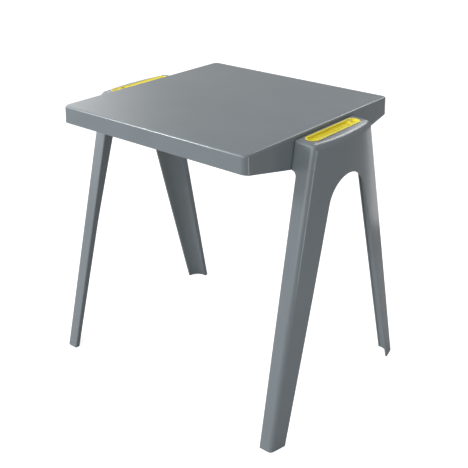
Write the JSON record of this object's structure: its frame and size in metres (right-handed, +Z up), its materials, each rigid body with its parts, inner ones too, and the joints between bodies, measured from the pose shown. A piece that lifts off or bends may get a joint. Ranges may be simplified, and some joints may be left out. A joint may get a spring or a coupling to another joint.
{
  "type": "student desk",
  "caption": "Free-standing moulded student desk: square ribbed top on arched leg frames that are open on the inside, with snap-in pen trays in the shoulders.",
  "frame": {"origin": "on the floor, under the middle of the desktop", "axes": "+Z up; +X towards the right leg frame, across the desk; -Y towards the person who sits at it"},
  "size_m": [0.7898, 0.604, 0.76],
  "materials": {
    "grey_polypropylene": "satin moulded grey polypropylene",
    "yellow_abs": "semi-gloss moulded yellow ABS",
    "zinc_plated_steel": "zinc-plated",
    "brass": "plain turned"
  },
  "bodies": {
    "root": {"desktop": "grey_polypropylene", "leg_frame_left": "grey_polypropylene", "pen_tray_left": "yellow_abs", "frame_screw_left_1": "zinc_plated_steel", "washer_left_1": "zinc_plated_steel", "threaded_insert_left_1": "brass", "frame_screw_left_2": "zinc_plated_steel", "washer_left_2": "zinc_plated_steel", "threaded_insert_left_2": "brass", "frame_screw_left_3": "zinc_plated_steel", "washer_left_3": "zinc_plated_steel", "threaded_insert_left_3": "brass", "frame_screw_left_4": "zinc_plated_steel", "washer_left_4": "zinc_plated_steel", "threaded_insert_left_4": "brass", "leg_frame_right": "grey_polypropylene", "pen_tray_right": "yellow_abs", "frame_screw_right_1": "zinc_plated_steel", "washer_right_1": "zinc_plated_steel", "threaded_insert_right_1": "brass", "frame_screw_right_2": "zinc_plated_steel", "washer_right_2": "zinc_plated_steel", "threaded_insert_right_2": "brass", "frame_screw_right_3": "zinc_plated_steel", "washer_right_3": "zinc_plated_steel", "threaded_insert_right_3": "brass", "frame_screw_right_4": "zinc_plated_steel", "washer_right_4": "zinc_plated_steel", "threaded_insert_right_4": "brass"}
  },
  "joints": []
}
